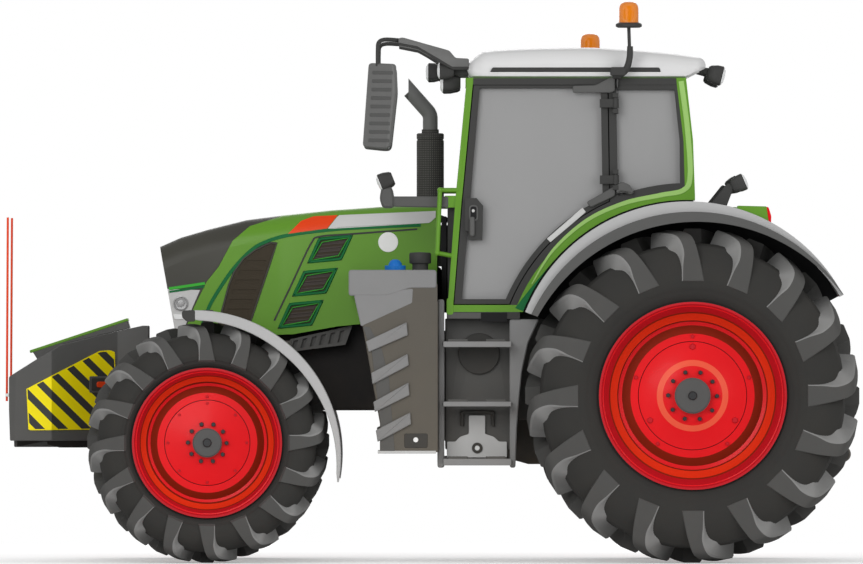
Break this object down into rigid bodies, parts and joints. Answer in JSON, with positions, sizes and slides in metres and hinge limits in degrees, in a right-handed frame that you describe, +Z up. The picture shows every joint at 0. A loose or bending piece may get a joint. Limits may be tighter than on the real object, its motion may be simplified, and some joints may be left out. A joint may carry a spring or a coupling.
{
  "type": "farm tractor",
  "caption": "Farm tractor with glazed cab, opening bonnet and doors, steered front axle, front ballast bumper and rear three-point hitch.",
  "frame": {"origin": "on the ground, midway along and across the tractor", "axes": "+X forward, +Y to the tractor's left, +Z up"},
  "size_m": [4.9166, 2.532, 3.2217],
  "materials": {
    "tyre": "rubber",
    "rim": "gloss",
    "green": "gloss",
    "dark": "matte",
    "nose": "satin",
    "brown": "matte",
    "iron": "matte",
    "steel": "satin",
    "roof": "gloss",
    "fender": "satin",
    "lip": "matte",
    "glass": "clear",
    "lamp": "gloss",
    "red_lamp": "gloss",
    "orange": "gloss",
    "yellow": "gloss",
    "tank": "matte",
    "guard": "matte",
    "cap": "gloss",
    "exhaust": "satin",
    "seat": "matte",
    "ballast": "matte"
  },
  "bodies": {
    "chassis": {"engine_block": "iron", "radiator": "iron", "front_frame": "iron", "gearbox": "iron", "rear_axle": "iron", "front_axle": "iron", "side_grilles": "dark", "cab_tub": "dark", "cab_frame": "green", "window_frames": "dark", "cab_glass": "glass", "cab_roof": "roof", "seat": "seat", "steering_console": "dark", "rear_fenders": "fender", "fender_lips": "lip", "tail_lamps": "red_lamp", "fuel_tank": "tank", "tank_guard": "guard", "tank_caps": "cap", "exhaust_box": "tank", "exhaust_stack": "exhaust", "cab_steps": "guard", "tool_box": "dark", "mirrors": "dark", "work_lamps": "dark", "beacons": "orange", "front_ballast": "ballast", "hazard_boards": "yellow", "ballast_trim": "green", "marker_rods": "orange", "rear_hitch": "iron"},
    "hood": {"hood_shell": "green", "hood_nose": "nose", "hood_grilles": "brown", "headlamps": "lamp"},
    "door_left": {"door_left": "dark", "door_left_glass": "glass"},
    "door_right": {"door_right": "dark", "door_right_glass": "glass"},
    "knuckle_left": {"knuckle_left": "iron", "front_fender_left": "fender"},
    "knuckle_right": {"knuckle_right": "iron", "front_fender_right": "fender"},
    "front_wheel_left": {"front_tyre_left": "tyre", "front_rim_left": "rim"},
    "front_wheel_right": {"front_tyre_right": "tyre", "front_rim_right": "rim"},
    "rear_wheel_left": {"rear_tyre_left": "tyre", "rear_rim_left": "rim"},
    "rear_wheel_right": {"rear_tyre_right": "tyre", "rear_rim_right": "rim"},
    "steering_rod": {"steering_rod": "steel"},
    "hitch_links": {"lower_links": "iron"},
    "lift_arms": {"lift_arms": "iron"},
    "lift_rods": {"lift_rods": "steel"}
  },
  "joints": [
    {"name": "steer_left", "type": "hinge", "parent": "chassis", "child": "knuckle_left", "pos_m": [1.284, 0.7, 0.69], "axis": [0, 0, 1], "range_deg": [-40, 40]},
    {"name": "steer_right", "type": "hinge", "parent": "chassis", "child": "knuckle_right", "pos_m": [1.284, -0.7, 0.69], "axis": [0, 0, 1], "range_deg": [-40, 40]},
    {"name": "steering_rod_slide", "type": "slide", "parent": "chassis", "child": "steering_rod", "axis": [0, 1, 0], "range_m": [-0.13, 0.13]},
    {"name": "front_wheel_left_spin", "type": "hinge", "parent": "knuckle_left", "child": "front_wheel_left", "pos_m": [1.284, 0.95, 0.69], "axis": [0, 1, 0], "continuous": true},
    {"name": "front_wheel_right_spin", "type": "hinge", "parent": "knuckle_right", "child": "front_wheel_right", "pos_m": [1.284, -0.95, 0.69], "axis": [0, 1, 0], "continuous": true},
    {"name": "rear_wheel_left_spin", "type": "hinge", "parent": "chassis", "child": "rear_wheel_left", "pos_m": [-1.499, 0.945, 0.96], "axis": [0, 1, 0], "continuous": true},
    {"name": "rear_wheel_right_spin", "type": "hinge", "parent": "chassis", "child": "rear_wheel_right", "pos_m": [-1.499, -0.945, 0.96], "axis": [0, 1, 0], "continuous": true},
    {"name": "hood_open", "type": "hinge", "parent": "chassis", "child": "hood", "pos_m": [-0.02, 0, 1.99], "axis": [0, -1, 0], "range_deg": [0, 58]},
    {"name": "door_left_open", "type": "hinge", "parent": "chassis", "child": "door_left", "pos_m": [-1.06, 0.91194, 1.44161], "axis": [0, -0.0732, 0.9973], "range_deg": [0, 65]},
    {"name": "door_right_open", "type": "hinge", "parent": "chassis", "child": "door_right", "pos_m": [-1.06, -0.91194, 1.44161], "axis": [0, -0.0732, -0.9973], "range_deg": [0, 65]},
    {"name": "hitch_lift", "type": "hinge", "parent": "chassis", "child": "hitch_links", "pos_m": [-1.64, 0, 0.6], "axis": [0, 1, 0], "range_deg": [-26, 25]},
    {"name": "lift_arm_swing", "type": "hinge", "parent": "chassis", "child": "lift_arms", "pos_m": [-1.6, 0, 1.28], "axis": [0, 1, 0], "range_deg": [-29, 28]},
    {"name": "lift_rod_swing", "type": "hinge", "parent": "lift_arms", "child": "lift_rods", "pos_m": [-1.957, 0, 1.33], "axis": [0, 1, 0], "range_deg": [-27, 28]}
  ],
  "couplings": [
    {"joint": "steer_right", "follows": "steer_left", "ratio": 1},
    {"joint": "steering_rod_slide", "follows": "steer_left", "m_per_rad": -0.18},
    {"joint": "lift_arm_swing", "follows": "hitch_lift", "ratio": 1.1},
    {"joint": "lift_rod_swing", "follows": "hitch_lift", "ratio": -1.02}
  ]
}
